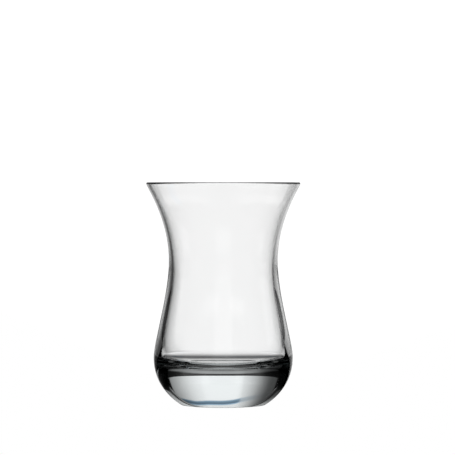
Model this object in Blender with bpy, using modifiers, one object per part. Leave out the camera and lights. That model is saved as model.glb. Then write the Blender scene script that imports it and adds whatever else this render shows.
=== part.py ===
"""Tulip-waisted tea glass, turned from one profile, in metres with +Z up.

The glass stands on the plane z = 0 and its axis is the world Z axis. It is one piece of clear
glass: a thin flared wall, a narrow waist, a round belly and a heavy solid base.
"""

import math

import bpy
from mathutils import Vector
from mathutils.geometry import interpolate_bezier

# Overall size
HEIGHT = 0.086

# Outside of the glass: radii, and heights above the table
RIM_RADIUS = 0.0298
WAIST_RADIUS = 0.0211
WAIST_HEIGHT = 0.0557
BELLY_RADIUS = 0.02695
BELLY_HEIGHT = 0.0182
FOOT_RADIUS = 0.0163
FLARE_ANGLE = math.radians(24.0)

# Inside of the glass
LIP_THICKNESS = 0.0012
INNER_WAIST_RADIUS = 0.01942
INNER_WAIST_HEIGHT = 0.0523
INNER_BELLY_RADIUS = 0.0240
INNER_BELLY_HEIGHT = 0.0191

# Floor of the cavity: a shallow bowl, a little lower in the middle, with a wide rounded corner round it
FLOOR_EDGE_RADIUS = 0.0140
FLOOR_EDGE_HEIGHT = 0.0147
FLOOR_CROWN = -0.0004
CORNER_PULLS = (0.55, 0.65)

# Underside: a flat ring to stand on round a shallow push-up
PUNT_RADIUS = 0.0145
PUNT_RISE = 0.00195

# How far each curve keeps its end direction before it turns
OUTER_PULLS = {"under_belly": 0.01056, "over_belly": 0.0064, "under_waist": 0.0132, "over_waist": 0.0147,
               "rim": 0.0038}
INNER_PULLS = {"over_belly": 0.0065, "under_waist": 0.0115, "over_waist": 0.0166, "rim": 0.0075}
FOOT_PULL = (0.0032, 0.0019)

# Fineness of the turned solid
TURN_STEPS = 72
SPAN_STEPS = 8
FLOOR_STEPS = 3
LIP_STEPS = 5
PUNT_STEPS = 5
MERGE_DISTANCE = 0.00005

GLASS_TINT = (0.93, 0.96, 0.95, 1.0)
GLASS_IOR = 1.52
GLASS_ROUGHNESS = 0.02


def clear_scene():
    """Removes what the open file already holds."""
    for old in list(bpy.data.objects):
        bpy.data.objects.remove(old, do_unlink=True)


def span(start, start_pull, end_pull, end, steps=SPAN_STEPS):
    """Points (radius, height) of one smooth curve, without its first point."""
    knots = [Vector((r, 0.0, z)) for r, z in (start, start_pull, end_pull, end)]
    return [(p.x, p.z) for p in interpolate_bezier(*knots, steps + 1)[1:]]


def along_flare(point, distance):
    """The point that lies the distance below another one, along the flared rim."""
    return (point[0] - distance * math.sin(FLARE_ANGLE), point[1] - distance * math.cos(FLARE_ANGLE))


def wall_ends():
    """Where the inner and the outer wall meet the rounded lip."""
    half = LIP_THICKNESS / 2
    middle = (RIM_RADIUS - half, HEIGHT - half)
    across = (math.cos(FLARE_ANGLE) * half, -math.sin(FLARE_ANGLE) * half)
    return (middle[0] - across[0], middle[1] - across[1]), (middle[0] + across[0], middle[1] + across[1])


def inner_wall(lip_end):
    """From the middle of the cavity's floor round its corner and up to the lip."""
    middle = (0.0, FLOOR_EDGE_HEIGHT + FLOOR_CROWN)
    edge = (FLOOR_EDGE_RADIUS, FLOOR_EDGE_HEIGHT)
    belly = (INNER_BELLY_RADIUS, INNER_BELLY_HEIGHT)
    waist = (INNER_WAIST_RADIUS, INNER_WAIST_HEIGHT)
    pull = INNER_PULLS
    out = CORNER_PULLS[0] * (belly[0] - edge[0])
    rise = CORNER_PULLS[1] * (belly[1] - edge[1])
    fall = 2 * FLOOR_CROWN / edge[0]
    points = [middle]
    points += span(middle, (edge[0] / 3, middle[1]), (edge[0] * 2 / 3, edge[1] + FLOOR_CROWN * 2 / 3), edge,
                   FLOOR_STEPS)
    points += span(edge, (edge[0] + out, edge[1] - fall * out), (belly[0], belly[1] - rise), belly)
    points += span(belly, (belly[0], belly[1] + pull["over_belly"]),
                   (waist[0], waist[1] - pull["under_waist"]), waist)
    points += span(waist, (waist[0], waist[1] + pull["over_waist"]), along_flare(lip_end, pull["rim"]), lip_end)
    return points


def lip():
    """The half-round edge that one drinks from, without its two ends."""
    half = LIP_THICKNESS / 2
    turns = [math.pi * (1 - step / LIP_STEPS) - FLARE_ANGLE for step in range(1, LIP_STEPS)]
    return [(RIM_RADIUS - half + half * math.cos(turn), HEIGHT - half + half * math.sin(turn)) for turn in turns]


def outer_wall(lip_end):
    """From the lip down to the edge of the flat ring that the glass stands on."""
    waist = (WAIST_RADIUS, WAIST_HEIGHT)
    belly = (BELLY_RADIUS, BELLY_HEIGHT)
    foot = (FOOT_RADIUS, 0.0)
    pull = OUTER_PULLS
    points = [lip_end]
    points += span(lip_end, along_flare(lip_end, pull["rim"]), (waist[0], waist[1] + pull["over_waist"]), waist)
    points += span(waist, (waist[0], waist[1] - pull["under_waist"]),
                   (belly[0], belly[1] + pull["over_belly"]), belly)
    points += span(belly, (belly[0], belly[1] - pull["under_belly"]),
                   (foot[0] + FOOT_PULL[0], FOOT_PULL[1]), foot)
    return points


def underside():
    """From the flat ring's inner edge over the push-up to the axis."""
    ring = (PUNT_RADIUS, 0.0)
    top = (0.0, PUNT_RISE)
    return [ring] + span(ring, (PUNT_RADIUS * 2 / 3, PUNT_RISE * 2 / 3), (PUNT_RADIUS / 3, PUNT_RISE), top,
                         PUNT_STEPS)


def profile():
    """The whole section on one side of the axis, from the floor over the lip to the underside."""
    inner_end, outer_end = wall_ends()
    return inner_wall(inner_end) + lip() + outer_wall(outer_end) + underside()


def clear_glass():
    """Soda-lime glass, moulded and fire polished."""
    material = bpy.data.materials.new("clear_glass")
    material.use_nodes = True
    shader = material.node_tree.nodes["Principled BSDF"]
    shader.inputs["Base Color"].default_value = GLASS_TINT
    shader.inputs["Roughness"].default_value = GLASS_ROUGHNESS
    shader.inputs["Metallic"].default_value = 0.0
    shader.inputs["IOR"].default_value = GLASS_IOR
    shader.inputs["Transmission Weight"].default_value = 1.0
    return material


def turned(name, points, collection):
    """A solid of revolution about Z from a section that ends on the axis."""
    mesh = bpy.data.meshes.new(name)
    mesh.from_pydata([(r, 0.0, z) for r, z in points], [(i, i + 1) for i in range(len(points) - 1)], [])
    solid = bpy.data.objects.new(name, mesh)
    collection.objects.link(solid)
    screw = solid.modifiers.new("turn", "SCREW")
    screw.axis = "Z"
    screw.angle = 2 * math.pi
    screw.steps = TURN_STEPS
    screw.render_steps = TURN_STEPS
    screw.use_merge_vertices = True
    screw.merge_threshold = MERGE_DISTANCE
    screw.use_smooth_shade = True
    mesh.materials.append(clear_glass())
    return solid


def main():
    clear_scene()
    collection = bpy.data.collections.new("tea_glass")
    bpy.context.scene.collection.children.link(collection)
    turned("glass", profile(), collection)


main()
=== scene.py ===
# A tulip-waisted tea glass in clear soda-lime glass, standing on a glowing table in a photographer's studio;
# the table's glow is painted light and shade.
# The glass is one Bezier section, and a Geometry Nodes tree turns it round the Z axis.

import math

import bpy
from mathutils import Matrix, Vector


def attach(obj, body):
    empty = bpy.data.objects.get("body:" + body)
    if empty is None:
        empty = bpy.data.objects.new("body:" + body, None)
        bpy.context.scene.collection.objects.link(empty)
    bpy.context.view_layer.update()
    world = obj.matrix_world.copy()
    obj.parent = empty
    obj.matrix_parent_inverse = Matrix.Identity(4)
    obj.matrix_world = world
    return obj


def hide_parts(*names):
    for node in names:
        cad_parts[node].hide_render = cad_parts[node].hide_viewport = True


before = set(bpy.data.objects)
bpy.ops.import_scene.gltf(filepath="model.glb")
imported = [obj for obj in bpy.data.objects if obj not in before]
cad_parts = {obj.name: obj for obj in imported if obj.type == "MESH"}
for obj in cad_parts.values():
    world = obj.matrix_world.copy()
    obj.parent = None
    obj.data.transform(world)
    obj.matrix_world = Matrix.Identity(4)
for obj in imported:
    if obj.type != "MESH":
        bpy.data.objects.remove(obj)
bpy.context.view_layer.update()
mm = 0.001
print("frame loaded")


def linearColor(hexValue):
    parts = [int(hexValue[i:i + 2], 16) / 255 for i in (1, 3, 5)]
    return [c / 12.92 if c <= 0.04045 else ((c + 0.055) / 1.055) ** 2.4 for c in parts] + [1.0]


def addNode(tree, kind, sockets=None, **settings):
    # a socket gets a plain value, or the output of another node
    node = tree.nodes.new(kind)
    for name, value in settings.items():
        setattr(node, name, value)
    for socket, value in (sockets or {}).items():
        if isinstance(value, bpy.types.NodeSocket):
            tree.links.new(value, node.inputs[socket])
        else:
            node.inputs[socket].default_value = value
    return node


# The section runs from the cavity floor's middle over the lip to the underside's middle.
glass = {
    "height": 85.995,                # all sizes in mm; a pair is a radius and a height
    "rimRadius": 29.785,
    "flareDegrees": 24.0,            # how far the wall leans out at the lip
    "lipThickness": 1.2,
    "outerWaist": (21.1, 55.7),
    "outerBelly": (26.95, 18.2),
    "footRadius": 16.3,
    "footHandle": (3.2, 1.9),        # from the foot's edge towards the belly
    "innerWaist": (19.42, 52.3),
    "innerBelly": (24.0, 19.1),
    "floorEdge": (14.0, 14.7),
    "floorCrown": -0.4,              # a bowl, so below nought
    "cornerPulls": (0.55, 0.65),     # shares of the corner's width and height
    "ringRadius": 14.5,              # inner edge of the flat ring that the glass stands on
    "ringPull": 0.5,
    "pushUp": 1.95,
    # how far the section keeps its direction on leaving a belly, a waist or the lip
    "outerPulls": {"underBelly": 10.56, "overBelly": 6.4, "underWaist": 13.2, "overWaist": 14.7, "rim": 3.8},
    "innerPulls": {"overBelly": 6.5, "underWaist": 11.5, "overWaist": 16.6, "rim": 7.5},
    "turnSteps": 240,
    "spanSteps": 34,                 # from one knot to the next
    "mergeDistance": 0.002,
}


def sectionKnots(size):
    flare = math.radians(size["flareDegrees"])
    half = size["lipThickness"] / 2
    up, out = Vector((0, 1)), Vector((1, 0))
    down = Vector((-math.sin(flare), -math.cos(flare)))
    across = Vector((math.cos(flare), -math.sin(flare)))
    lipMiddle = Vector((size["rimRadius"] - half, size["height"] - half))
    lipTop = lipMiddle - down * half
    innerLip, outerLip = lipMiddle - across * half, lipMiddle + across * half
    quarter = 0.5523 * half     # a handle this long makes a quarter circle
    edge, belly, waist = (Vector(size[name]) for name in ("floorEdge", "innerBelly", "innerWaist"))
    outerWaist, outerBelly = Vector(size["outerWaist"]), Vector(size["outerBelly"])
    crown = size["floorCrown"]
    floor = Vector((0, edge.y + crown))
    floorFall = Vector((edge.x, -2 * crown)) / 3     # handles a third as long as the floor make a parabola
    corner = Vector((1, -2 * crown / edge.x)) * (belly.x - edge.x) * size["cornerPulls"][0]
    cornerRise = up * (belly.y - edge.y) * size["cornerPulls"][1]
    foot, ring = Vector((size["footRadius"], 0)), Vector((size["ringRadius"], 0))
    top = Vector((0, size["pushUp"]))
    inner, outer = size["innerPulls"], size["outerPulls"]
    return [   # a point, the handle before it, the handle after it
        (floor, floor, floor + out * edge.x / 3),
        (edge, edge - floorFall, edge + corner),
        (belly, belly - cornerRise, belly + up * inner["overBelly"]),
        (waist, waist - up * inner["underWaist"], waist + up * inner["overWaist"]),
        (innerLip, innerLip + down * inner["rim"], innerLip - down * quarter),
        (lipTop, lipTop - across * quarter, lipTop + across * quarter),
        (outerLip, outerLip - down * quarter, outerLip + down * outer["rim"]),
        (outerWaist, outerWaist + up * outer["overWaist"], outerWaist - up * outer["underWaist"]),
        (outerBelly, outerBelly + up * outer["overBelly"], outerBelly - up * outer["underBelly"]),
        (foot, foot + Vector(size["footHandle"]), foot - out * size["ringPull"]),
        (ring, ring + out * size["ringPull"], ring + Vector((-ring.x, 2 * top.y)) / 3),
        (top, top + out * ring.x / 3, top),
    ]


def sectionCurve(name, size):
    curve = bpy.data.curves.new(name, "CURVE")
    curve.dimensions = "3D"
    curve.resolution_u = size["spanSteps"]
    curve.render_resolution_u = size["spanSteps"]
    spline = curve.splines.new("BEZIER")
    knots = sectionKnots(size)
    spline.bezier_points.add(len(knots) - 1)
    for knot, (point, before, after) in zip(spline.bezier_points, knots):
        knot.handle_left_type = knot.handle_right_type = "FREE"
        knot.co = (point.x * mm, 0, point.y * mm)
        knot.handle_left = (before.x * mm, 0, before.y * mm)
        knot.handle_right = (after.x * mm, 0, after.y * mm)
    made = bpy.data.objects.new(name, curve)
    bpy.context.scene.collection.objects.link(made)
    return made


def turningTree():
    tree = bpy.data.node_groups.new("turn section round Z", "GeometryNodeTree")
    face = tree.interface
    face.new_socket("Section", in_out="INPUT", socket_type="NodeSocketGeometry")
    face.new_socket("Turn Steps", in_out="INPUT", socket_type="NodeSocketInt")
    face.new_socket("Merge Distance", in_out="INPUT", socket_type="NodeSocketFloat")
    face.new_socket("Finish", in_out="INPUT", socket_type="NodeSocketMaterial")
    face.new_socket("Turned", in_out="OUTPUT", socket_type="NodeSocketGeometry")
    given = addNode(tree, "NodeGroupInput").outputs
    steps = given["Turn Steps"]
    wire = addNode(tree, "GeometryNodeCurveToMesh", {"Curve": given["Section"]}).outputs["Mesh"]
    count = addNode(tree, "GeometryNodeAttributeDomainSize", {"Geometry": wire}).outputs["Point Count"]
    # a sheet with a row for each point of the section, and one column more than there are steps round
    across = addNode(tree, "FunctionNodeIntegerMath", {0: steps, 1: 1}, operation="ADD").outputs[0]
    sheet = addNode(tree, "GeometryNodeMeshGrid", {
        "Vertices X": count, "Vertices Y": across}).outputs["Mesh"]
    index = addNode(tree, "GeometryNodeInputIndex").outputs[0]
    knot = addNode(tree, "FunctionNodeIntegerMath", {
        0: index, 1: across}, operation="DIVIDE_FLOOR").outputs[0]
    step = addNode(tree, "FunctionNodeIntegerMath", {
        0: index, 1: across}, operation="MODULO").outputs[0]
    part = addNode(tree, "ShaderNodeMath", {0: step, 1: steps}, operation="DIVIDE").outputs[0]
    angle = addNode(tree, "ShaderNodeMath", {0: part, 1: 2 * math.pi}, operation="MULTIPLY").outputs[0]
    # each of its points takes its row's place on the section, turned by its column's angle
    place = addNode(tree, "GeometryNodeInputPosition").outputs[0]
    onCurve = addNode(tree, "GeometryNodeSampleIndex", {
        "Geometry": wire, "Index": knot}, data_type="FLOAT_VECTOR")
    tree.links.new(place, onCurve.inputs["Value"])
    turned = addNode(tree, "ShaderNodeVectorRotate", {
        "Vector": onCurve.outputs["Value"], "Angle": angle}, rotation_type="Z_AXIS").outputs["Vector"]
    shape = addNode(tree, "GeometryNodeSetPosition", {"Geometry": sheet, "Position": turned}).outputs[0]
    # merging closes the seam and both poles
    closed = addNode(tree, "GeometryNodeMergeByDistance", {
        "Geometry": shape, "Distance": given["Merge Distance"]}).outputs[0]
    smooth = addNode(tree, "GeometryNodeSetShadeSmooth", {"Geometry": closed}).outputs[0]
    real = addNode(tree, "GeometryNodeRealizeInstances", {"Geometry": smooth}).outputs[0]
    dressed = addNode(tree, "GeometryNodeSetMaterial", {
        "Geometry": real, "Material": given["Finish"]}).outputs[0]
    addNode(tree, "NodeGroupOutput", {"Turned": dressed})
    return tree


def plainMesh(source, name):
    # the source's result as a mesh with no modifiers; the source is removed
    graph = bpy.context.evaluated_depsgraph_get()
    mesh = bpy.data.meshes.new_from_object(source.evaluated_get(graph))
    mesh.name = name
    made = bpy.data.objects.new(name, mesh)
    bpy.context.scene.collection.objects.link(made)
    bpy.data.objects.remove(source, do_unlink=True)
    return made


# Soda-lime glass, pressed in an iron mould and fire polished: the flame leaves a skin that is sharp in
# reflection but not quite even, the thick base looks faintly blue-green, and saucers have dulled the foot.
finish = {
    "ior": 1.52,
    "waveSize": 11.0,                # mm from one swell of the skin to the next
    "waveHeight": 0.004,             # mm
    "waveDetail": 1.0,
    "scuffSize": 0.6,                # mm, coarser than real scuffs so that they show
    "scuffDetail": 3.0,
    "scuffTop": (0.12, 0.02),        # mm up the foot where the scuffs end, and where they are full
    "scuffRoughness": 0.22,
    "tint": "#D6ECEF",               # slightly blue-green through the thick base
    "density": 5.0,                  # per metre
}


def sodaLimeGlass():
    material = bpy.data.materials.new("clear soda-lime glass")
    material.use_nodes = True
    tree = material.node_tree
    tree.nodes.clear()
    place = addNode(tree, "ShaderNodeTexCoord").outputs["Object"]
    swell = addNode(tree, "ShaderNodeTexNoise", {
        "Vector": place, "Scale": 1 / (finish["waveSize"] * mm),
        "Detail": finish["waveDetail"]}).outputs[0]
    skin = addNode(tree, "ShaderNodeBump", {
        "Height": swell, "Strength": 1.0, "Distance": finish["waveHeight"] * mm}).outputs[0]
    height = addNode(tree, "ShaderNodeSeparateXYZ", {0: place}).outputs["Z"]
    noScuff, fullScuff = finish["scuffTop"]
    low = addNode(tree, "ShaderNodeMapRange", {
        "Value": height, "From Min": noScuff * mm, "From Max": fullScuff * mm}).outputs[0]
    scuffs = addNode(tree, "ShaderNodeTexNoise", {
        "Vector": place, "Scale": 1 / (finish["scuffSize"] * mm),
        "Detail": finish["scuffDetail"]}).outputs[0]
    rough = addNode(tree, "ShaderNodeMath", {
        0: scuffs, 1: finish["scuffRoughness"]}, operation="MULTIPLY").outputs[0]
    rough = addNode(tree, "ShaderNodeMath", {0: rough, 1: low}, operation="MULTIPLY").outputs[0]
    shader = addNode(tree, "ShaderNodeBsdfPrincipled", {
        "Base Color": linearColor("#FFFFFF"), "Roughness": rough, "IOR": finish["ior"],
        "Transmission Weight": 1.0, "Normal": skin})
    body = addNode(tree, "ShaderNodeVolumeAbsorption", {
        "Color": linearColor(finish["tint"]), "Density": finish["density"]})
    addNode(tree, "ShaderNodeOutputMaterial", {"Surface": shader.outputs[0], "Volume": body.outputs[0]})
    return material


section = sectionCurve("teaGlassSection", glass)
turn = section.modifiers.new("turn", "NODES")
turn.node_group = turningTree()
socketOf = {
    item.name: item.identifier
    for item in turn.node_group.interface.items_tree if item.in_out == "INPUT"}
turn[socketOf["Turn Steps"]] = glass["turnSteps"]
turn[socketOf["Merge Distance"]] = glass["mergeDistance"] * mm
turn[socketOf["Finish"]] = sodaLimeGlass()
teaGlass = plainMesh(section, "teaGlass")
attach(teaGlass, "root")
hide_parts("glass")
print("glass made:", len(teaGlass.data.polygons), "faces")


# Round the glass stand a lit white paper straight behind, black cards at its sides and a few soft lamps,
# over a table that glows. Its glow is painted light and shade: the paper's light, pools of light near the
# glass and the glass's shadow round its foot, and plain white where the camera sees it straight. A curve of
# light is pairs of a place and the brightness there, and 1 is the photo's white. A plain ray only goes
# through the glass, and a mirrored one is thrown back inside it at least once.
studio = {
    "tableRadius": 3.0,               # metres
    # degrees to the right of straight back, and how bright the lit paper is there; black cards end it
    "paper": (
        (-60, 0.0), (-44.5, 0.0), (-42, 0.06), (-35, 0.08), (-30, 0.15), (-25, 0.29), (-20, 0.51),
        (-13, 0.80), (-7, 1.0), (9, 1.0), (14, 0.92), (20, 0.79), (27, 0.59), (33, 0.45), (37.5, 0.37),
        (42, 0.26), (44, 0.0), (60, 0.0)),
    # degrees by which the paper's upper edge lies higher there, and how clearly it shows
    "edgeRise": (
        (-60, 0.0), (-26, 0.0), (-14, 0.9), (-8, 2.2), (0, 3.1), (8, 3.4), (17, 4.9), (25, 5.9), (60, 5.9)),
    "edgeShown": ((-60, 0.0), (-30, 0.05), (-22, 0.2), (-13, 0.4), (-8, 1.0), (60, 1.0)),
    "openSky": 0.94,                  # the share where the edge doesn't show
    # the share of the paper's brightness by degrees up, and on the table by mm from the glass's axis, for a
    # ray that only goes through the glass and for one that is mirrored inside it
    "plain": {
        "rise": (
            (-14, 1.07), (0, 1.07), (4, 1.0), (23.3, 0.96), (24.1, 0.84), (25.1, 0.56), (26.1, 0.42),
            (27.1, 0.33), (28.1, 0.48), (29.1, 0.86), (31, 0.88), (38, 0.7), (90, 0.5)),
        # on the table a plain ray sees a dark ring just round the glass: the glass's painted shadow
        "reach": (
            (30, 0.12), (34, 0.1), (37.5, 0.13), (40, 0.27), (43, 0.47), (46, 0.64), (51, 0.81), (58, 0.93),
            (69, 1.0), (85, 1.02), (113, 1.06), (220, 1.07)),
        "underFoot": 0.75,
    },
    "mirrored": {
        "rise": (
            (0, 0.12), (1, 0.17), (1.8, 0.36), (2.6, 0.36), (3.2, 0.15), (3.8, 0.02), (7, 0.02), (8.4, 0.15),
            (9.4, 0.55), (10.5, 0.7), (13, 0.5), (18, 0.45), (24, 0.12), (30, 0.5), (42, 0.3), (50, 0.15),
            (56, 0.2), (62, 0.2), (66, 0.75), (71, 0.6), (75, 0.0), (90, 0.0)),
        "reach": (
            (10, 0.2), (20, 0.42), (30, 0.38), (50, 0.36), (135, 0.36), (160, 0.55), (200, 0.8), (350, 0.75),
            (800, 0.75), (1500, 0.95)),
        "underFoot": 0.06,
    },
    # in the next rows a pair is where something starts to show and where it shows in full, in mm from the
    # glass's axis or in degrees to either side
    "onceAside": (14, 20),            # out there a ray that is mirrored just once sees its own table, by mm
    "mirroredOnce": ((30, 0.0), (40, 0.2), (46, 0.5), (60, 1.0), (1500, 1.0)),
    "oftenReach": (50, 64),           # and one that is mirrored again sees none nearer than that
    "underFootFade": (34, 20),        # the even shade under the foot
    "nearPaper": {"reach": (110, 80), "aside": (42, 26)},    # a plain ray sees the near table lit there
    "farAside": {"from": (21, 27), "reach": (230, 330)},     # and the table's glow is dark out there
    "whiteRing": {"begins": (44, 78), "ends": (300, 225), "from": (18, 32)},    # but white between the two
    # the light that a mirrored ray sees close to the glass, by degrees round from straight back and by mm
    "nearTable": (
        (-180, 0.03), (-172, 0.05), (-162, 0.45), (-152, 0.9), (-130, 0.9), (-122, 0.5), (-112, 0.1),
        (-90, 0.0), (-44, 0.1), (-38, 0.4), (-34, 0.4), (-28, 0.2), (-20, 0.25), (-12, 0.0), (14, 0.0),
        (20, 0.2), (30, 0.1), (50, 0.0), (110, 0.05), (125, 0.3), (138, 0.7), (155, 0.7), (165, 0.25),
        (173, 0.05), (180, 0.03)),
    "nearTableReach": ((24, 0.0), (32, 0.7), (37, 1.0), (48, 1.0), (56, 0.6), (66, 0.3), (80, 0.0)),
    # lamps: degrees round and up, and brightness, each with its soft edge in degrees
    "lamps": (
        {"from": 166, "to": 194, "low": -3, "high": 24, "edge": 6, "level": 0.38},       # behind the camera
        {"from": 70, "to": 92, "low": -1, "high": 16, "edge": 5, "level": 0.45},         # right side
        {"from": -90, "to": -76, "low": -1, "high": 12, "edge": 5, "level": 0.4},        # left side
        {"from": -180, "to": 180, "low": 63, "high": 74, "edge": 4, "level": 0.42},      # overhead ring
        {"from": 54, "to": 76, "low": 39, "high": 44, "edge": 3, "level": 0.5},          # high right
        {"from": -76, "to": -54, "low": 39, "high": 44, "edge": 3, "level": 0.5},        # high left
    ),
    # a bowed strip light overhead, which only mirrored rays see: degrees aside against degrees up, and
    # against brightness, with its half width and its soft edge in degrees
    "strip": {
        "rise": (
            (40, 21.0), (54, 24.0), (66, 29.5), (81, 34.0), (93, 39.0), (110, 43.0), (140, 47.5),
            (180, 50.0)),
        "level": ((40, 0.0), (46, 0.8), (75, 0.8), (92, 0.5), (140, 0.35), (160, 0.1), (180, 0.0)),
        "half": 1.5,
        "edge": 3.0,
    },
    "paperFade": (4, 5),              # how many mirrorings it takes to lose most of the paper's light
    "lampFade": (2, 4),               # and the lamps' light
    "mirrorLeft": 0.08,               # the share that is left then
    "openFrom": (50, 58),             # a plain ray sees white out there, and not the cards
    "topTint": "#A9CBE6",             # colour of the paper's upper edge
    "edgeTinted": (26.8, 1.6, 1.6),   # its middle, half width and softness in degrees up
}


def levelCurve(tree, value, points):
    # a Float Curve through the points, in their own units along both axes
    low, high = points[0][0], points[-1][0]
    most = max(1.0, *(level for _, level in points))
    along = addNode(tree, "ShaderNodeMapRange", {
        "Value": value, "From Min": low, "From Max": high}).outputs[0]
    node = addNode(tree, "ShaderNodeFloatCurve", {"Value": along})
    line = node.mapping.curves[0]
    line.points[0].location = (0.0, points[0][1] / most)
    line.points[1].location = (1.0, points[-1][1] / most)
    for at, level in points[1:-1]:
        line.points.new((at - low) / (high - low), level / most)
    for point in line.points:
        point.handle_type = "AUTO_CLAMPED"
    node.mapping.update()
    return addNode(tree, "ShaderNodeMath", {0: node.outputs[0], 1: most}, operation="MULTIPLY").outputs[0]


def band(tree, value, half, edge):
    # one within half of nought, falling to nought over edge
    size = addNode(tree, "ShaderNodeMath", {0: value}, operation="ABSOLUTE").outputs[0]
    return addNode(tree, "ShaderNodeMapRange", {
        "Value": size, "From Min": half + edge, "From Max": half},
        interpolation_type="SMOOTHSTEP").outputs[0]


def dimmed(tree, light, *shares):
    # the light that is left when only these shares of it come through
    for share in shares:
        light = addNode(tree, "ShaderNodeMath", {0: light, 1: share}, operation="MULTIPLY").outputs[0]
    return light


def fadedIn(tree, light, *fades):
    # the light from where each fade's value passes its end, none before its start
    for value, (start, end) in fades:
        light = dimmed(tree, light, addNode(tree, "ShaderNodeMapRange", {
            "Value": value, "From Min": start, "From Max": end}).outputs[0])
    return light


def lampLevel(tree, turned, rise, lamp):
    middle, half = (lamp["from"] + lamp["to"]) / 2, (lamp["to"] - lamp["from"]) / 2
    height, halfHeight = (lamp["low"] + lamp["high"]) / 2, (lamp["high"] - lamp["low"]) / 2
    aside = addNode(tree, "ShaderNodeMath", {0: turned, 1: middle}, operation="SUBTRACT").outputs[0]
    aside = addNode(tree, "ShaderNodeMath", {0: aside, 1: 180.0, 2: -180.0}, operation="WRAP").outputs[0]
    up = addNode(tree, "ShaderNodeMath", {0: rise, 1: height}, operation="SUBTRACT").outputs[0]
    return dimmed(
        tree, band(tree, aside, half, lamp["edge"]), band(tree, up, halfHeight, lamp["edge"]), lamp["level"])


# a count of mirrorings is told by these, which lie half-way between whole numbers
overNone, underTwo = 0.5, 1.5


def lookOf(tree, axes, ownHit):
    # which way a ray looks, how often it was mirrored inside the glass, and what that leaves of the light
    turned = addNode(tree, "ShaderNodeMath", {0: axes["X"], 1: axes["Y"]}, operation="ARCTAN2").outputs[0]
    turned = addNode(tree, "ShaderNodeMath", {0: turned}, operation="DEGREES").outputs[0]
    aside = addNode(tree, "ShaderNodeMath", {0: turned}, operation="ABSOLUTE").outputs[0]
    ray = addNode(tree, "ShaderNodeLightPath").outputs
    mirrors = addNode(tree, "ShaderNodeMath", {
        0: ray["Ray Depth"], 1: ray["Transmission Depth"]}, operation="SUBTRACT").outputs[0]
    mirrors = addNode(tree, "ShaderNodeMath", {0: mirrors, 1: ownHit}, operation="SUBTRACT").outputs[0]
    mirrored = addNode(tree, "ShaderNodeMath", {
        0: mirrors, 1: overNone}, operation="GREATER_THAN").outputs[0]
    plain = addNode(tree, "ShaderNodeMath", {0: 1.0, 1: mirrored}, operation="SUBTRACT").outputs[0]
    start, end = studio["openFrom"]
    opened = addNode(tree, "ShaderNodeMapRange", {
        "Value": aside, "From Min": start, "From Max": end}, interpolation_type="SMOOTHSTEP").outputs[0]
    look = {
        "turned": turned, "aside": aside, "mirrors": mirrors, "mirrored": mirrored, "plain": plain,
        "opened": dimmed(tree, plain, opened), "camera": ray["Is Camera Ray"]}
    for fade in ("paperFade", "lampFade"):
        few, many = studio[fade]
        look[fade] = addNode(tree, "ShaderNodeMapRange", {
            "Value": mirrors, "From Min": few, "From Max": many,
            "To Min": 1.0, "To Max": studio["mirrorLeft"]}).outputs[0]
    return look


def addedUp(tree, lights, whites):
    # all the lights together, or white where one of the whites shows
    level = lights[0]
    for light in lights[1:]:
        level = addNode(tree, "ShaderNodeMath", {0: level, 1: light}, operation="ADD").outputs[0]
    for white in whites:
        level = addNode(tree, "ShaderNodeMath", {0: level, 1: white}, operation="MAXIMUM").outputs[0]
    return level


# how bright the table glows at a place: painted light from the paper and near the glass, and painted shade
# of the glass round its foot
def tableLevel(tree, place):
    axes = addNode(tree, "ShaderNodeSeparateXYZ", {0: place}).outputs
    look = lookOf(tree, axes, ownHit=0)
    turned, aside, plain, mirrored = (look[name] for name in ("turned", "aside", "plain", "mirrored"))
    reach = addNode(tree, "ShaderNodeVectorMath", {0: place}, operation="LENGTH").outputs["Value"]
    reach = addNode(tree, "ShaderNodeMath", {0: reach, 1: mm}, operation="DIVIDE").outputs[0]

    nearPaper = fadedIn(
        tree, plain, (reach, studio["nearPaper"]["reach"]), (aside, studio["nearPaper"]["aside"]))
    paper = addNode(tree, "ShaderNodeMath", {
        0: levelCurve(tree, turned, studio["paper"]), 1: nearPaper}, operation="MAXIMUM").outputs[0]
    straight = levelCurve(tree, reach, studio["plain"]["reach"])
    bounced = levelCurve(tree, reach, studio["mirrored"]["reach"])
    once = addNode(tree, "ShaderNodeMath", {
        0: look["mirrors"], 1: underTwo}, operation="LESS_THAN").outputs[0]
    outer = addNode(tree, "ShaderNodeMix", {
        "Factor": once, 2: fadedIn(tree, bounced, (reach, studio["oftenReach"])),
        3: levelCurve(tree, reach, studio["mirroredOnce"])}).outputs[0]
    bounced = addNode(tree, "ShaderNodeMix", {
        "Factor": fadedIn(tree, 1.0, (aside, studio["onceAside"])), 2: bounced, 3: outer}).outputs[0]
    share = addNode(tree, "ShaderNodeMix", {"Factor": mirrored, 2: straight, 3: bounced}).outputs[0]
    far = fadedIn(tree, plain, (aside, studio["farAside"]["from"]), (reach, studio["farAside"]["reach"]))
    notFar = addNode(tree, "ShaderNodeMath", {0: 1.0, 1: far}, operation="SUBTRACT").outputs[0]

    nearTable = dimmed(
        tree, levelCurve(tree, turned, studio["nearTable"]),
        levelCurve(tree, reach, studio["nearTableReach"]), mirrored)
    underFoot = addNode(tree, "ShaderNodeMix", {
        "Factor": mirrored, 2: studio["plain"]["underFoot"], 3: studio["mirrored"]["underFoot"]}).outputs[0]
    underFoot = fadedIn(tree, underFoot, (reach, studio["underFootFade"]))
    lights = [
        dimmed(tree, paper, share, notFar, look["paperFade"]),
        dimmed(tree, nearTable, look["lampFade"]),
        dimmed(tree, underFoot, look["paperFade"]),
    ]
    ring = studio["whiteRing"]
    whiteRing = fadedIn(tree, plain, (reach, ring["begins"]), (reach, ring["ends"]), (aside, ring["from"]))
    opened = fadedIn(tree, look["opened"], (reach, reversed(studio["underFootFade"])))
    return addedUp(tree, lights, (opened, look["camera"], whiteRing))


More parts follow.
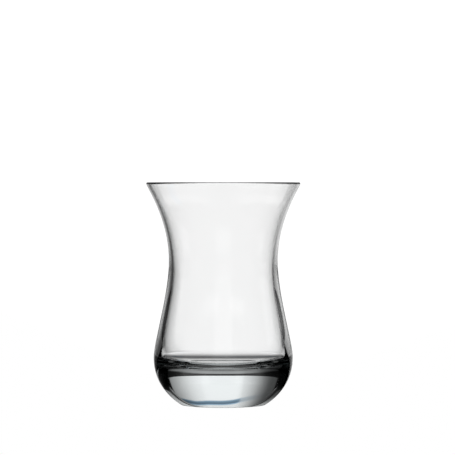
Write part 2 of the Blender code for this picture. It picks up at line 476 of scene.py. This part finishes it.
def skyLevel(tree, way):
    # the brightness that way, and how far it lies in the paper's tinted upper edge
    axes = addNode(tree, "ShaderNodeSeparateXYZ", {0: way}).outputs
    look = lookOf(tree, axes, ownHit=1)     # the world counts its own hit as one bounce more
    turned, aside, mirrored = (look[name] for name in ("turned", "aside", "mirrored"))
    rise = addNode(tree, "ShaderNodeMath", {0: axes["Z"]}, operation="ARCSINE").outputs[0]
    rise = addNode(tree, "ShaderNodeMath", {0: rise}, operation="DEGREES").outputs[0]

    fromEdge = addNode(tree, "ShaderNodeMath", {
        0: rise, 1: levelCurve(tree, turned, studio["edgeRise"])}, operation="SUBTRACT").outputs[0]
    edgeShown = levelCurve(tree, turned, studio["edgeShown"])
    straight = addNode(tree, "ShaderNodeMix", {
        "Factor": edgeShown, 2: studio["openSky"],
        3: levelCurve(tree, fromEdge, studio["plain"]["rise"])}).outputs[0]
    bounced = levelCurve(tree, rise, studio["mirrored"]["rise"])
    share = addNode(tree, "ShaderNodeMix", {"Factor": mirrored, 2: straight, 3: bounced}).outputs[0]
    lights = [dimmed(tree, levelCurve(tree, turned, studio["paper"]), share, look["paperFade"])]
    for lamp in studio["lamps"]:
        lights.append(dimmed(tree, lampLevel(tree, turned, rise, lamp), look["lampFade"]))
    strip = studio["strip"]
    off = addNode(tree, "ShaderNodeMath", {
        0: rise, 1: levelCurve(tree, aside, strip["rise"])}, operation="SUBTRACT").outputs[0]
    lights.append(dimmed(
        tree, band(tree, off, strip["half"], strip["edge"]), levelCurve(tree, aside, strip["level"]),
        look["lampFade"], mirrored))

    middle, half, edge = studio["edgeTinted"]
    above = addNode(tree, "ShaderNodeMath", {0: fromEdge, 1: middle}, operation="SUBTRACT").outputs[0]
    tinted = dimmed(tree, band(tree, above, half, edge), edgeShown)
    return addedUp(tree, lights, (look["opened"], look["camera"])), tinted


def paintedLightTable():
    mesh = bpy.data.meshes.new("table")
    r = studio["tableRadius"]
    mesh.from_pydata([(-r, -r, 0), (r, -r, 0), (r, r, 0), (-r, r, 0)], [], [(0, 1, 2, 3)])
    table = bpy.data.objects.new("table", mesh)
    bpy.context.scene.collection.objects.link(table)
    material = bpy.data.materials.new("table glowing with painted light and shade")
    material.use_nodes = True
    tree = material.node_tree
    tree.nodes.clear()
    # the table glows instead of being lit: its glow is painted light and shade, and white where the camera
    # sees it straight
    place = addNode(tree, "ShaderNodeTexCoord").outputs["Object"]
    glow = addNode(tree, "ShaderNodeEmission", {
        "Strength": tableLevel(tree, place), "Color": linearColor("#FFFFFF")})
    addNode(tree, "ShaderNodeOutputMaterial", {"Surface": glow.outputs[0]})
    mesh.materials.append(material)


def studioWorld():
    world = bpy.data.worlds.new("studio")
    bpy.context.scene.world = world
    world.use_nodes = True
    tree = world.node_tree
    tree.nodes.clear()
    way = addNode(tree, "ShaderNodeTexCoord").outputs["Generated"]
    level, tinted = skyLevel(tree, way)
    color = addNode(tree, "ShaderNodeMix", {
        "Factor": tinted, 6: linearColor("#FFFFFF"), 7: linearColor(studio["topTint"])},
        data_type="RGBA").outputs[2]
    light = addNode(tree, "ShaderNodeBackground", {"Strength": level, "Color": color})
    addNode(tree, "ShaderNodeOutputWorld", {"Surface": light.outputs[0]})


paintedLightTable()
studioWorld()
print("studio made")


view = {
    "distance": 1053.0,               # mm in front of the glass's axis
    "height": 86.0,                   # mm over the table
    "lookAt": (1.64, 0.0, 68.5),      # mm
    "glassHeight": 86,                # mm, which are glassPixels in the photo
    "glassPixels": 222.4,
    "pixels": 455,                    # the photo's width
    "sensorWidth": 36.0,              # mm
    "clip": (0.05, 50.0),             # metres
    "bounces": 32,                    # enough for a ray to get out of the thick base
}


def photoCamera():
    data = bpy.data.cameras.new("camera")
    camera = bpy.data.objects.new("camera", data)
    bpy.context.scene.collection.objects.link(camera)
    camera.location = Vector((0, -view["distance"], view["height"])) * mm
    aim = Vector(view["lookAt"]) * mm - camera.location
    camera.rotation_mode = "QUATERNION"
    camera.rotation_quaternion = aim.to_track_quat("-Z", "Y")
    mmPerPixel = view["glassHeight"] / view["glassPixels"]
    data.sensor_width = view["sensorWidth"]
    data.lens = view["sensorWidth"] * view["distance"] / (mmPerPixel * view["pixels"])
    data.clip_start, data.clip_end = view["clip"]
    bpy.context.scene.camera = camera


photoCamera()
scene = bpy.context.scene
scene.view_settings.view_transform = "Standard"
scene.cycles.max_bounces = view["bounces"]
scene.cycles.transmission_bounces = view["bounces"]
scene.cycles.glossy_bounces = view["bounces"]
print("camera placed")
